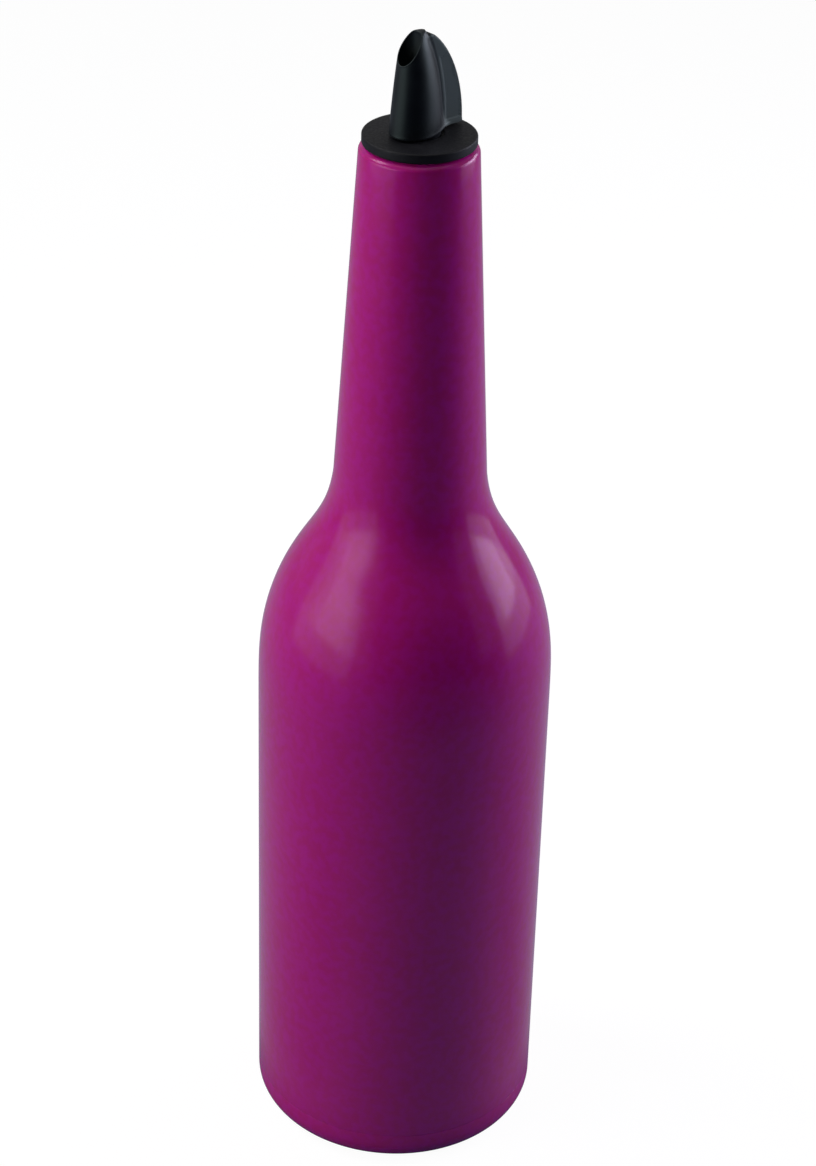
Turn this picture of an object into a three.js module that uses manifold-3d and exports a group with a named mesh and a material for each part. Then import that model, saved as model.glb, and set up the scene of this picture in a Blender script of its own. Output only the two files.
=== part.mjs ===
// Flair bottle: a thick moulded bottle that can be thrown and dropped, with a push-in free-pour spout.
// Millimetres, +Z up. The origin is the centre of the foot ring, on the surface the bottle stands on.
import * as THREE from "three";
import { mergeVertices } from "three/addons/utils/BufferGeometryUtils.js";
import Module from "manifold-3d";

// Bottle
const BOTTLE_HEIGHT = 286.6;
const BODY_DIAMETER = 77.4;
const SHOULDER_HEIGHT = 141;
const SHOULDER_RADIUS = 65;
const NECK_FILLET_RADIUS = 40;
const NECK_TAPER_DEGREES = 3.08;
const RIM_DIAMETER = 29.3;
const RIM_ROUND = 1.6;
const WALL = 3.4;

// Bore that grips the stopper, opening in a funnel to the inside of the neck
const BORE_DIAMETER = 19.8;
const BORE_LENGTH = 36;
const BORE_LEAD_IN = 0.8;
const FUNNEL_DEGREES = 15;

// Base cap, welded into the open lower end of the shell
const SEAM_HEIGHT = 9.5;
const HEEL_RADIUS = 6;
const FOOT_WIDTH = 6;
const PUSH_UP = 4;
const BASE_THICKNESS = 3.2;
const SPIGOT_HEIGHT = 6;
const SPIGOT_WALL = 2.2;

// Collar disc between the stopper and the spout
const COLLAR_DIAMETER = 28;
const COLLAR_THICKNESS = 2.6;
const COLLAR_EDGE_ROUND = 0.45;

// Spout: an oval beak with a round nose, whose mouth breaks out at the front, and a finger fin behind it
const FIN_AZIMUTH_DEGREES = 39;
const SPOUT_HEIGHT = 24.8;
const BEAK_FRONT = 8.35;
const BEAK_BACK = 6.9;
const BEAK_WIDTH = 10.6;
const SEAT_STEP = 0.8;
const SEAT_INSET = 0.7;
const TIP_OFFSET = 0.3;
const NOSE_START = 16.5;
const NOSE_WIDTH = 7;
const NOSE_FULLNESS = 2.8;
const LIP_HEIGHT = 16.9;
const LIP_SETBACK = 1.6;
const LIP_WALL = 1.4;
const THROAT_DROP = 2.3;
const MOUTH_WIDTH = 5;
const TIP_WALL = 1.1;
const FIN_REACH = 11.5;
const FIN_HEIGHT = 23.7;
const FIN_CROWN = 24.3;
const FIN_FULLNESS = 0.67;
const FIN_THICKNESS = 3.5;
const FIN_ROOT = 1.2;
const PANEL_DEPTH = 0.35;
const PANEL_BORDER = 0.85;
const PANEL_BOTTOM = 1;
const PANEL_TOP = 17.5;

// Stem of the spout, with the liquid's way and the air's way side by side in it
const STEM_DIAMETER = 10.2;
const FLOW_DIAMETER = 5.9;
const FLOW_OFFSET = -1.55;
const VENT_DIAMETER = 1.5;
const VENT_OFFSET = 3.25;
const VENT_SOCKET_DEPTH = 7;
const VENT_EXIT_OFFSET = 2;
const BEAD_PROUD = 0.5;
const BEAD_LAND = 0.8;
const BEAD_LEAD_IN = 1.4;

// Breather tube
const TUBE_DIAMETER = 2.4;
const TUBE_PROJECTION = 11;

// Stopper: a sleeve with barbed ribs
const STOPPER_LENGTH = 30;
const STOPPER_CORE_DIAMETER = 16.6;
const STOPPER_NOSE_DIAMETER = 15.4;
const RIB_COUNT = 5;
const RIB_PITCH = 5;
const RIB_EDGE = 0.8;
const RIB_SLOPE = 1.8;
const RIB_START = 2.4;

// Clearances
const WELD_CLEARANCE = 0.15;
const RIB_CLEARANCE = 0.12;
const STEM_CLEARANCE = 0.1;
const TUBE_CLEARANCE = 0.15;
const SEAT_CLEARANCE = 0.3;

// Fineness of the round forms
const BOTTLE_SIDES = 48;
const POURER_SIDES = 40;
const TUBE_SIDES = 20;
const ARC_ERROR = 0.05;
const LOFT_RINGS = 7;

// How far a cutting or joined form runs past the face that it cuts or joins
const OVERRUN = 1;

const bodyRadius = BODY_DIAMETER / 2;
const boreRadius = BORE_DIAMETER / 2;
const stemRadius = STEM_DIAMETER / 2;
const taper = THREE.MathUtils.degToRad(NECK_TAPER_DEGREES);

const wasm = await Module();
wasm.setup();

// Turns a closed geometry into a solid for joins and cuts.
function solid(geometry) {
  const bare = new THREE.BufferGeometry();
  bare.setAttribute("position", geometry.getAttribute("position"));
  bare.setIndex(geometry.index);
  const merged = mergeVertices(bare, 1e-4);
  const vertProperties = merged.getAttribute("position").array;
  const triVerts = new Uint32Array(merged.index.array);
  return new wasm.Manifold(new wasm.Mesh({ numProp: 3, vertProperties, triVerts }));
}

// Turns a solid back into a geometry that a mesh can carry.
function geometryOf(made) {
  const mesh = made.getMesh();
  const geometry = new THREE.BufferGeometry();
  geometry.setAttribute("position", new THREE.BufferAttribute(mesh.vertProperties, 3));
  geometry.setIndex(new THREE.BufferAttribute(mesh.triVerts, 1));
  geometry.computeVertexNormals();
  return geometry;
}

// Points of an arc in the half plane of a turned profile, angles in radians from the outward direction.
function arc(centre, radius, from, to) {
  const step = 2 * Math.acos(1 - ARC_ERROR / radius);
  const count = Math.ceil(Math.abs(to - from) / step);
  const points = [];
  for (let i = 0; i <= count; i += 1) {
    const angle = from + ((to - from) * i) / count;
    const outward = new THREE.Vector2(Math.cos(angle), Math.sin(angle));
    points.push(outward.multiplyScalar(radius).add(centre));
  }
  return points;
}

// A profile of (radius, height) points turned about the Z axis.
function turned(profile, sides) {
  return new THREE.LatheGeometry(profile, sides).rotateX(Math.PI / 2);
}

// A turned ring: the profile goes round its section once and closes on itself.
function turnedRing(profile, sides) {
  return turned([...profile, profile[0]], sides);
}

// A closed skin through rings that all have the same number of points, with flat ends.
function lofted(rings) {
  const sides = rings[0].length;
  const last = (rings.length - 1) * sides;
  const triangles = [];
  for (let ring = 0; ring + 1 < rings.length; ring += 1) {
    for (let i = 0; i < sides; i += 1) {
      const a = ring * sides + i;
      const b = ring * sides + ((i + 1) % sides);
      triangles.push(a, b, b + sides, a, b + sides, a + sides);
    }
  }
  for (let i = 1; i + 1 < sides; i += 1) {
    triangles.push(0, i + 1, i);
    triangles.push(last, last + i, last + i + 1);
  }
  const geometry = new THREE.BufferGeometry().setFromPoints(rings.flat());
  return geometry.setIndex(triangles);
}

// An oval ring at one height: front and back ends on the X axis, and a half width across it.
function ovalRing(front, back, halfWidth, height) {
  const points = [];
  for (let i = 0; i < POURER_SIDES; i += 1) {
    const angle = (2 * Math.PI * i) / POURER_SIDES;
    const x = (front + back) / 2 + ((back - front) / 2) * Math.cos(angle);
    points.push(new THREE.Vector3(x, halfWidth * Math.sin(angle), height));
  }
  return points;
}

// An arc that leaves the level of the base upright and leans in to a tip: reach at a height.
function ogive(base, tip, height) {
  const centre = (tip * tip + height * height - base * base) / (2 * (tip - base));
  const radius = base - centre;
  return (h) => centre + Math.sqrt(radius * radius - h * h);
}

// Key points of the bottle's side: shoulder centre, neck line and the hollow fillet between them.
function bottleSide() {
  const rimCorner = new THREE.Vector2(RIM_DIAMETER / 2, BOTTLE_HEIGHT);
  const neckOut = new THREE.Vector2(Math.cos(taper), Math.sin(taper));
  const neckDown = new THREE.Vector2(Math.sin(taper), -Math.cos(taper));
  const shoulder = new THREE.Vector2(bodyRadius - SHOULDER_RADIUS, SHOULDER_HEIGHT);
  const above = rimCorner.clone().addScaledVector(neckOut, NECK_FILLET_RADIUS);
  const span = SHOULDER_RADIUS + NECK_FILLET_RADIUS;
  const toAbove = above.clone().sub(shoulder);
  const along = toAbove.dot(neckDown);
  const down = -along - Math.sqrt(along * along - toAbove.lengthSq() + span * span);
  const fillet = above.clone().addScaledVector(neckDown, down);
  const meeting = fillet.clone().sub(shoulder).angle();
  return { rimCorner, neckOut, shoulder, fillet, meeting };
}

const side = bottleSide();

// Body, shoulder and neck foot from the seam upwards, moved inwards by an inset.
function sideProfile(inset) {
  const foot = new THREE.Vector2(bodyRadius - inset, SEAM_HEIGHT);
  const round = arc(side.shoulder, SHOULDER_RADIUS - inset, 0, side.meeting);
  const hollow = arc(side.fillet, NECK_FILLET_RADIUS + inset, side.meeting + Math.PI, taper + Math.PI);
  return [foot, ...round, ...hollow.slice(1)];
}

// Rounded rim, from the neck's outside over the top and into the bore.
function rimProfile() {
  const inwards = (RIM_ROUND * (1 - Math.sin(taper))) / Math.cos(taper);
  const outerX = side.rimCorner.x - inwards;
  const outer = new THREE.Vector2(outerX, BOTTLE_HEIGHT - RIM_ROUND);
  const inner = new THREE.Vector2(boreRadius + BORE_LEAD_IN, BOTTLE_HEIGHT - BORE_LEAD_IN);
  const outside = arc(outer, RIM_ROUND, taper, Math.PI / 2);
  const inside = arc(inner, BORE_LEAD_IN, Math.PI / 2, Math.PI);
  return [...outside, ...inside];
}

// Lower end of the bore, and the funnel down to the inside of the neck wall.
function funnelProfile() {
  const start = new THREE.Vector2(boreRadius, BOTTLE_HEIGHT - BORE_LENGTH);
  const slope = THREE.MathUtils.degToRad(FUNNEL_DEGREES);
  const down = new THREE.Vector2(Math.sin(slope), -Math.cos(slope));
  const spare = -WALL - start.clone().sub(side.rimCorner).dot(side.neckOut);
  const end = start.clone().addScaledVector(down, spare / down.dot(side.neckOut));
  return [start, end];
}

// The bottle: one wall from the open lower end to the rim, and back down its inside.
function bottleShell() {
  const outside = sideProfile(0);
  const inside = sideProfile(WALL).reverse();
  const profile = [...outside, ...rimProfile(), ...funnelProfile(), ...inside];
  return turnedRing(profile, BOTTLE_SIDES);
}

// Base cap: a dish with a domed push-up, a flat foot ring, a round heel and a spigot inside the shell.
function baseCap() {
  const footOuter = bodyRadius - HEEL_RADIUS;
  const footInner = footOuter - FOOT_WIDTH;
  const domeRadius = (footInner * footInner + PUSH_UP * PUSH_UP) / (2 * PUSH_UP);
  const dome = new THREE.Vector2(0, PUSH_UP - domeRadius);
  const domeEdge = Math.acos(footInner / domeRadius);
  const heel = new THREE.Vector2(footOuter, HEEL_RADIUS);
  const spigotOuter = bodyRadius - WALL - WELD_CLEARANCE;
  const spigotTop = SEAM_HEIGHT + SPIGOT_HEIGHT;
  const upperRadius = domeRadius + BASE_THICKNESS;
  const spigotInner = spigotOuter - SPIGOT_WALL;
  const innerCorner = new THREE.Vector2(spigotInner - HEEL_RADIUS, BASE_THICKNESS + HEEL_RADIUS);
  const upperEdge = Math.acos(Math.min(footInner, innerCorner.x) / upperRadius);
  const profile = [
    ...arc(dome, domeRadius, Math.PI / 2, domeEdge),
    ...arc(heel, HEEL_RADIUS, -Math.PI / 2, 0),
    new THREE.Vector2(bodyRadius, SEAM_HEIGHT),
    new THREE.Vector2(spigotOuter, SEAM_HEIGHT),
    new THREE.Vector2(spigotOuter, spigotTop),
    new THREE.Vector2(spigotInner, spigotTop),
    ...arc(innerCorner, HEEL_RADIUS, 0, -Math.PI / 2),
    ...arc(dome, upperRadius, upperEdge, Math.PI / 2),
  ];
  return turned(profile, BOTTLE_SIDES);
}

// Collar: a flat ring with softened edges, standing on the rim round the stem.
function collar() {
  const outerX = COLLAR_DIAMETER / 2 - COLLAR_EDGE_ROUND;
  const holeX = stemRadius + STEM_CLEARANCE;
  const lower = new THREE.Vector2(outerX, COLLAR_EDGE_ROUND);
  const upper = new THREE.Vector2(outerX, COLLAR_THICKNESS - COLLAR_EDGE_ROUND);
  const profile = [
    new THREE.Vector2(holeX, 0),
    ...arc(lower, COLLAR_EDGE_ROUND, -Math.PI / 2, 0),
    ...arc(upper, COLLAR_EDGE_ROUND, 0, Math.PI / 2),
    new THREE.Vector2(holeX, COLLAR_THICKNESS),
  ];
  return turnedRing(profile, POURER_SIDES);
}

// Stopper: a sleeve round the stem, hanging from the collar, with barbed ribs that grip the bore.
function stopper() {
  const holeX = stemRadius + STEM_CLEARANCE;
  const coreX = STOPPER_CORE_DIAMETER / 2;
  const ribX = boreRadius - RIB_CLEARANCE;
  const outside = [new THREE.Vector2(holeX, 0), new THREE.Vector2(coreX, 0)];
  for (let i = 0; i < RIB_COUNT; i += 1) {
    const top = -RIB_START - i * RIB_PITCH;
    outside.push(new THREE.Vector2(coreX, top));
    outside.push(new THREE.Vector2(ribX, top));
    outside.push(new THREE.Vector2(ribX, top - RIB_EDGE));
    outside.push(new THREE.Vector2(coreX, top - RIB_EDGE - RIB_SLOPE));
  }
  outside.push(new THREE.Vector2(STOPPER_NOSE_DIAMETER / 2, -STOPPER_LENGTH));
  outside.push(new THREE.Vector2(holeX, -STOPPER_LENGTH));
  return turnedRing(outside.reverse(), POURER_SIDES);
}

// Heights in the pourer, from the rim upwards.
const seatFoot = COLLAR_THICKNESS + SEAT_CLEARANCE;
const beakFoot = seatFoot + SEAT_STEP;
const beadTop = -STOPPER_LENGTH - SEAT_CLEARANCE;
const stemEnd = beadTop - BEAD_LAND - BEAD_LEAD_IN;

// Outer lines of the spout above the beak's foot: beak back, beak sides, beak front and the fin's edge.
const beakBack = ogive(BEAK_BACK, TIP_OFFSET, SPOUT_HEIGHT);
const beakSide = ogive(BEAK_WIDTH / 2, NOSE_WIDTH / 2, SPOUT_HEIGHT);
const beakFront = (h) => (LIP_SETBACK * h) / LIP_HEIGHT - BEAK_FRONT;
const finEdge = (h) => FIN_REACH * (1 - (h / FIN_CROWN) ** 2) ** FIN_FULLNESS;

// Share of the beak's section that is left where the nose rounds over, from 1 at its start to 0 at the tip.
function noseShare(h) {
  const climb = Math.max(0, (h - NOSE_START) / (SPOUT_HEIGHT - NOSE_START));
  return (1 - climb ** NOSE_FULLNESS) ** (1 / NOSE_FULLNESS);
}

// Beak: oval rings that lean and narrow from the foot, then round over to the tip.
function beak() {
  const straight = Array.from({ length: LOFT_RINGS }, (_, i) => (NOSE_START * i) / LOFT_RINGS);
  const noseHeight = SPOUT_HEIGHT - NOSE_START;
  const turns = Array.from({ length: LOFT_RINGS }, (_, i) => (Math.PI * i) / (2 * LOFT_RINGS));
  const nose = turns.map((angle) => NOSE_START + noseHeight * Math.sin(angle));
  const rings = [...straight, ...nose].map((h) => {
    const back = beakBack(h);
    const front = back - (back - beakFront(h)) * noseShare(h);
    return ovalRing(front, back, beakSide(h) * noseShare(h), h);
  });
  return solid(lofted(rings));
}

// Seat: a slightly smaller oval under the beak, which stands on the collar.
function seat() {
  const front = SEAT_INSET - BEAK_FRONT;
  const back = BEAK_BACK - SEAT_INSET;
  const halfWidth = BEAK_WIDTH / 2 - SEAT_INSET;
  return solid(lofted([-SEAT_STEP, OVERRUN].map((h) => ovalRing(front, back, halfWidth, h))));
}

// Plate in the fin's plane, set upright: between two lines and two levels, with its points closer at the top.
function finPlate(inner, outer, bottom, top, thickness) {
  const outline = new THREE.Shape();
  outline.moveTo(inner(bottom), bottom);
  const turns = Array.from({ length: LOFT_RINGS }, (_, i) => (Math.PI * i) / (2 * (LOFT_RINGS - 1)));
  const levels = turns.map((angle) => bottom + (top - bottom) * Math.sin(angle));
  levels.forEach((h) => outline.lineTo(outer(h), h));
  levels.reverse().forEach((h) => outline.lineTo(inner(h), h));
  const plate = new THREE.ExtrudeGeometry(outline, { depth: thickness, bevelEnabled: false });
  return plate.rotateX(Math.PI / 2);
}

// Finger fin behind the beak, with a shallow panel in each side.
function fin() {
  const root = (h) => beakBack(h) - FIN_ROOT;
  const blank = finPlate(root, finEdge, 0, FIN_HEIGHT, FIN_THICKNESS);
  const panelInner = (h) => beakBack(h) + PANEL_BORDER;
  const panelOuter = (h) => finEdge(h) - PANEL_BORDER;
  const cutter = finPlate(panelInner, panelOuter, PANEL_BOTTOM, PANEL_TOP, PANEL_DEPTH + OVERRUN);
  const half = FIN_THICKNESS / 2;
  const left = solid(cutter.clone().translate(0, half + OVERRUN, 0));
  const right = solid(cutter.clone().translate(0, PANEL_DEPTH - half, 0));
  return solid(blank.translate(0, half, 0)).subtract(left).subtract(right);
}

// Stem down through the collar and stopper, with a snap bead under the stopper.
function stem() {
  const beadX = stemRadius + BEAD_PROUD;
  const profile = [
    new THREE.Vector2(0, stemEnd),
    new THREE.Vector2(stemRadius - BEAD_PROUD, stemEnd),
    new THREE.Vector2(beadX, stemEnd + BEAD_LEAD_IN),
    new THREE.Vector2(beadX, beadTop),
    new THREE.Vector2(stemRadius, beadTop),
    new THREE.Vector2(stemRadius, beakFoot + OVERRUN),
    new THREE.Vector2(0, beakFoot + OVERRUN),
  ];
  return solid(turned(profile, POURER_SIDES));
}

// The liquid's way: straight up the stem to a throat, then leaning forward until it breaks out of the nose.
function flowWay() {
  const stemFront = FLOW_OFFSET - FLOW_DIAMETER / 2;
  const stemBack = FLOW_OFFSET + FLOW_DIAMETER / 2;
  const mouthBack = TIP_OFFSET - TIP_WALL;
  const top = SPOUT_HEIGHT + OVERRUN;
  const throat = LIP_HEIGHT - THROAT_DROP;
  const throatFront = beakFront(throat) + LIP_WALL;
  const throatBack = THREE.MathUtils.lerp(stemBack, mouthBack, throat / top);
  const throatWidth = THREE.MathUtils.lerp(FLOW_DIAMETER, MOUTH_WIDTH, throat / top);
  const lean = (beakFront(LIP_HEIGHT) - throatFront) / THROAT_DROP;
  const mouthFront = throatFront + lean * (top - throat);
  const rings = [
    ovalRing(stemFront, stemBack, FLOW_DIAMETER / 2, stemEnd - OVERRUN),
    ovalRing(stemFront, stemBack, FLOW_DIAMETER / 2, beakFoot),
    ovalRing(throatFront, throatBack, throatWidth / 2, beakFoot + throat),
    ovalRing(mouthFront, mouthBack, MOUTH_WIDTH / 2, beakFoot + top),
  ];
  return solid(lofted(rings));
}

// The air's way: a socket for the breather tube, and a finer hole that leans to the top of the fin.
function airWay() {
  const socketTop = beakFoot + VENT_SOCKET_DEPTH;
  const socketX = TUBE_DIAMETER / 2 + TUBE_CLEARANCE;
  const socketProfile = [
    new THREE.Vector2(0, stemEnd - OVERRUN),
    new THREE.Vector2(socketX, stemEnd - OVERRUN),
    new THREE.Vector2(socketX, socketTop),
    new THREE.Vector2(0, socketTop),
  ];
  const climb = FIN_HEIGHT - VENT_SOCKET_DEPTH;
  const lean = Math.atan2(VENT_EXIT_OFFSET - VENT_OFFSET, climb);
  const holeProfile = [
    new THREE.Vector2(0, -OVERRUN),
    new THREE.Vector2(VENT_DIAMETER / 2, -OVERRUN),
    new THREE.Vector2(VENT_DIAMETER / 2, climb + OVERRUN),
    new THREE.Vector2(0, climb + OVERRUN),
  ];
  const socket = turned(socketProfile, TUBE_SIDES).translate(VENT_OFFSET, 0, 0);
  const hole = turned(holeProfile, TUBE_SIDES).rotateY(lean).translate(VENT_OFFSET, 0, socketTop);
  return solid(socket).add(solid(hole));
}

// Spout: beak, fin and stem in one moulding, with the liquid's and the air's ways cut through it.
function spout() {
  const upper = beak().add(seat()).add(fin()).translate([0, 0, beakFoot]);
  return geometryOf(upper.add(stem()).subtract(flowWay()).subtract(airWay()));
}

// Breather tube: from its socket in the spout down past the end of the stem.
function ventTube() {
  const top = beakFoot + VENT_SOCKET_DEPTH - SEAT_CLEARANCE;
  const bottom = stemEnd - TUBE_PROJECTION;
  const profile = [
    new THREE.Vector2(VENT_DIAMETER / 2, bottom),
    new THREE.Vector2(TUBE_DIAMETER / 2, bottom),
    new THREE.Vector2(TUBE_DIAMETER / 2, top),
    new THREE.Vector2(VENT_DIAMETER / 2, top),
  ];
  return turnedRing(profile, TUBE_SIDES);
}

function piece(name, geometry, color, roughness) {
  const material = new THREE.MeshStandardMaterial({ color, roughness, metalness: 0 });
  const mesh = new THREE.Mesh(geometry, material);
  mesh.name = name;
  return mesh;
}

// Pourer: everything that stands on the rim or hangs in the neck, turned to where its mouth points.
const pourer = new THREE.Group();
pourer.position.z = BOTTLE_HEIGHT;
pourer.rotation.z = THREE.MathUtils.degToRad(FIN_AZIMUTH_DEGREES);
const breather = piece("vent_tube", ventTube(), 0x17181c, 0.4);
breather.position.x = VENT_OFFSET;
pourer.add(piece("stopper", stopper(), 0x1c1c20, 0.6));
pourer.add(piece("collar", collar(), 0x232327, 0.65));
pourer.add(piece("spout", spout(), 0x0e0f13, 0.3));
pourer.add(breather);

const bottle = new THREE.Group();
bottle.add(piece("bottle_shell", bottleShell(), 0x8a1a68, 0.35));
bottle.add(piece("base_cap", baseCap(), 0x8a1a68, 0.35));
bottle.add(pourer);

export default bottle;
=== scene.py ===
# Flair bottle with a push-in pourer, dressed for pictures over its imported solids. Sizes are in millimetres.
import math
import bmesh
import bpy
import numpy as np
from mathutils import Matrix


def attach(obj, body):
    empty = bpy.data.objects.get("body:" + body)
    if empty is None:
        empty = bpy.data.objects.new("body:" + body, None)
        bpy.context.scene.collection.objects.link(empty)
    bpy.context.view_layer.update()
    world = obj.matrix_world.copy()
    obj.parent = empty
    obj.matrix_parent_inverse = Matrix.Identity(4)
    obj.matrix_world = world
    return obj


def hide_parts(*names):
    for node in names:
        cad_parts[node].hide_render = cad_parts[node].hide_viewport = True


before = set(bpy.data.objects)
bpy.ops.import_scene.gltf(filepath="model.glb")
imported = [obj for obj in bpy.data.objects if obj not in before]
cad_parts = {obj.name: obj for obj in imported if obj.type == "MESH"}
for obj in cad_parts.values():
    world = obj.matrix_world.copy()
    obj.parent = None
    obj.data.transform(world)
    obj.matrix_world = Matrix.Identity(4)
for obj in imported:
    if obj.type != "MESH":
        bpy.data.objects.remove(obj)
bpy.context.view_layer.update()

# Bottle shell: one thick wall of tough moulded plastic, from its open lower end over the domed shoulder
# and up the tapered neck to a rounded rim, then back down the inside. The stopper grips in its bore.
MM = 0.001
WELD, SLIVER = 0.002, 0.0001
BODY_RADIUS = 38.7
SEAM_HEIGHT, SEAM_ROUND, SEAM_CLEAR = 9.5, 0.08, 1.0
WALL = 3.4
SHOULDER_HEIGHT = 142.3
SHOULDER_RADIUS = 60.6
NECK_FILLET = 34.0
BEND_EASE = 5.0
NECK_TAPER = math.radians(3.08)
RIM_HEIGHT = 286.6
RIM_RADIUS = 14.65
RIM_ROUND, RIM_DOME = 2.0, 1.0
BORE_RADIUS = 9.9
BORE_LENGTH = 36.0
BORE_LEAD_IN = 0.8
FUNNEL_SLOPE = math.radians(15)
STROKE_SLANTS, STROKE_STRETCH = ((0.5, 0.3, 0.4), (-0.7, 1.2, 0.4)), (14, 0.5, 14)
MAGENTA_WARM, MAGENTA_COOL = (0.422, 0.007, 0.162, 1), (0.439, 0.008, 0.232, 1)
MAGENTA_WORN, MAGENTA_SHEEN = (0.47, 0.022, 0.26, 1), (1, 0.65, 0.95, 1)


def arc(centre, radius, start, end, count):
    """Arc in the half plane of a turned profile: centre + radius * (cos a, sin a), a from start to end."""
    a = np.linspace(start, end, count)
    return np.stack([centre[0] + radius * np.cos(a), centre[1] + radius * np.sin(a)], axis=1)


def turned(profile, columns):
    """Profile of (radius, height) turned about the upright axis: (r cos a, r sin a, z)."""
    a = np.linspace(0, 2 * np.pi, columns, endpoint=False)
    r, z = profile[:, :1], profile[:, 1:]
    return np.stack([r * np.cos(a), r * np.sin(a), z + 0 * a], axis=-1)


def skin(name, points, closed_rows, **marks):
    """Skin over a grid of points in millimetres. Columns go once round the piece and close on themselves,
    rows go along it. Face (i, j) joins points (i, j), (i, j + 1), (i + 1, j + 1) and (i + 1, j).
    A mark is a value for each point, which the material reads as an attribute."""
    rows, columns = points.shape[:2]
    i, j = np.meshgrid(np.arange(rows - (not closed_rows)), np.arange(columns), indexing="ij")
    row, further, across = i * columns, (i + 1) % rows * columns, (j + 1) % columns
    corners = np.stack([row + j, row + across, further + across, further + j], axis=-1)
    mesh = bpy.data.meshes.new(name)
    mesh.vertices.add(rows * columns)
    mesh.vertices.foreach_set("co", (points * MM).ravel())
    mesh.loops.add(corners.size)
    mesh.loops.foreach_set("vertex_index", corners.ravel())
    mesh.polygons.add(i.size)
    mesh.polygons.foreach_set("loop_start", 4 * np.arange(i.size))
    mesh.update(calc_edges=True)
    for mark, values in marks.items():
        mesh.attributes.new(mark, "FLOAT", "POINT").data.foreach_set("value", values.ravel())
    welded = bmesh.new()
    welded.from_mesh(mesh)
    bmesh.ops.remove_doubles(welded, verts=welded.verts, dist=WELD * MM)
    bmesh.ops.dissolve_degenerate(welded, edges=welded.edges, dist=SLIVER * MM)
    welded.to_mesh(mesh)
    welded.free()
    mesh.polygons.foreach_set("use_smooth", np.ones(len(mesh.polygons), bool))
    return mesh


def put(name, data):
    """Object of a mesh, a lamp or a camera, linked to the scene."""
    made = bpy.data.objects.new(name, data)
    bpy.context.scene.collection.objects.link(made)
    return made


def place(mesh, material, body, node):
    """Sets a finished piece in the scene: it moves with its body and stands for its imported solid."""
    piece = put(mesh.name, mesh)
    mesh.materials.append(material)
    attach(piece, body)
    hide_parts(node)


def wire(tree, node, **sockets):
    """Sets a node's sockets: a value is written to its socket, and another node's output is linked to it.
    Underscores in a name stand for spaces, and _2 is the third socket."""
    for name, value in sockets.items():
        socket = node.inputs[int(name[1:]) if name[0] == "_" else name.replace("_", " ")]
        if isinstance(value, bpy.types.NodeSocket):
            tree.links.new(value, socket)
        else:
            socket.default_value = value
    return node


def add(tree, kind, **sockets):
    """New node with its sockets set."""
    return wire(tree, tree.nodes.new(kind), **sockets)


def worked(tree, operation, first, second):
    """Output of a Math node of two values or outputs."""
    made = add(tree, "ShaderNodeMath", _0=first, _1=second)
    made.operation = operation
    return made.outputs[0]


def ramp(tree, value, low, high, low_out=0.0, high_out=1.0):
    """Smooth step from one output to another while a value goes from low to high."""
    made = add(tree, "ShaderNodeMapRange", Value=value, From_Min=low, From_Max=high)
    made.interpolation_type = "SMOOTHSTEP"
    return wire(tree, made, To_Min=low_out, To_Max=high_out).outputs[0]


def tint(tree, share, first, second):
    """Colour between two colours or colour outputs, by a share."""
    made = tree.nodes.new("ShaderNodeMix")
    made.data_type = "RGBA"
    return wire(tree, made, _0=share, _6=first, _7=second).outputs[2]


def noise(tree, where, scale, detail, distortion=0.0):
    """Noise of a scale at a place."""
    made = add(tree, "ShaderNodeTexNoise", Vector=where, Scale=scale, Detail=detail, Distortion=distortion)
    return made.outputs["Fac"]


def moulded_skin():
    """Group for moulded plastic: slow clouds in its tone, the fine grain of the tool, the slow waves of a
    shrunk wall, and hairline rubs that run in two slanting directions and gather in patches."""
    group = bpy.data.node_groups.new("moulded_skin", "ShaderNodeTree")
    for name in ("Grain Scale", "Wave Scale", "Rub Scale"):
        group.interface.new_socket(name, in_out="INPUT", socket_type="NodeSocketFloat")
    for name in ("Clouds", "Grain", "Waves", "Rubs"):
        group.interface.new_socket(name, in_out="OUTPUT", socket_type="NodeSocketFloat")
    given = group.nodes.new("NodeGroupInput").outputs
    where = group.nodes.new("ShaderNodeTexCoord").outputs["Object"]
    strokes = []
    for slant in STROKE_SLANTS:
        drawn = add(group, "ShaderNodeMapping", Vector=where, Rotation=slant, Scale=STROKE_STRETCH)
        strokes.append(ramp(group, noise(group, drawn.outputs[0], given["Rub Scale"], 1.0), 0.66, 0.74))
    patches = ramp(group, noise(group, where, given["Rub Scale"], 2.0), 0.48, 0.66)
    wire(
        group,
        group.nodes.new("NodeGroupOutput"),
        Clouds=noise(group, where, given["Wave Scale"], 3.0),
        Grain=noise(group, where, given["Grain Scale"], 2.0),
        Waves=noise(group, where, given["Wave Scale"], 0.5, 0.3),
        Rubs=worked(group, "MULTIPLY", worked(group, "MAXIMUM", *strokes), patches),
    )
    return group


skin_group = moulded_skin()


def finish(name, specular, grain=900.0, wave=45.0, rub=60.0):
    """Material with its shader and the outputs of its own copy of the moulded skin group."""
    material = bpy.data.materials.new(name)
    material.use_nodes = True
    tree = material.node_tree
    shader = wire(tree, tree.nodes["Principled BSDF"], Specular_IOR_Level=specular)
    texture = tree.nodes.new("ShaderNodeGroup")
    texture.node_tree = skin_group
    wire(tree, texture, Grain_Scale=grain, Wave_Scale=wave, Rub_Scale=rub)
    return material, tree, shader, texture.outputs


def clouded(tree, texture, low, high, low_out, high_out, rub):
    """Smooth step over the slow clouds, plus a share of the rubs."""
    cloudy = ramp(tree, texture["Clouds"], low, high, low_out, high_out)
    return worked(tree, "ADD", cloudy, worked(tree, "MULTIPLY", texture["Rubs"], rub))


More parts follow.
